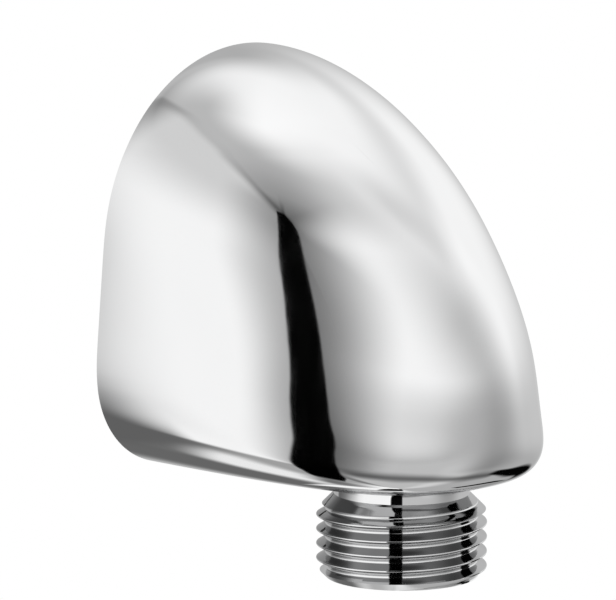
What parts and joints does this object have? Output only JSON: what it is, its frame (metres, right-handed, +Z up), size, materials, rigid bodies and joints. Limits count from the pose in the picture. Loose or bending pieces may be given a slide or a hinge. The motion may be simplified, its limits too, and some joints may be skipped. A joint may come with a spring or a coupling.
{
  "type": "wall outlet elbow",
  "caption": "Chromed wall outlet elbow for a shower hose: an arched hood that rounds forward over a threaded outlet spigot, carried on a sealed nipple that screws into the wall.",
  "frame": {"origin": "where the inlet's axis meets the wall, in the plane of the hood's rim", "axes": "+Y into the wall along the inlet, +Z up, -Z along the outlet, -Y out into the room"},
  "size_m": [0.052, 0.0575, 0.0636],
  "materials": {
    "chromed_casting": "polished",
    "turned_brass": "turned",
    "seal_rubber": "moulded",
    "screw_steel": "plain"
  },
  "bodies": {
    "root": {"elbow_body": "chromed_casting", "wall_nipple": "turned_brass", "front_o_ring": "seal_rubber", "rear_o_ring": "seal_rubber", "grub_screw": "screw_steel"}
  },
  "joints": []
}
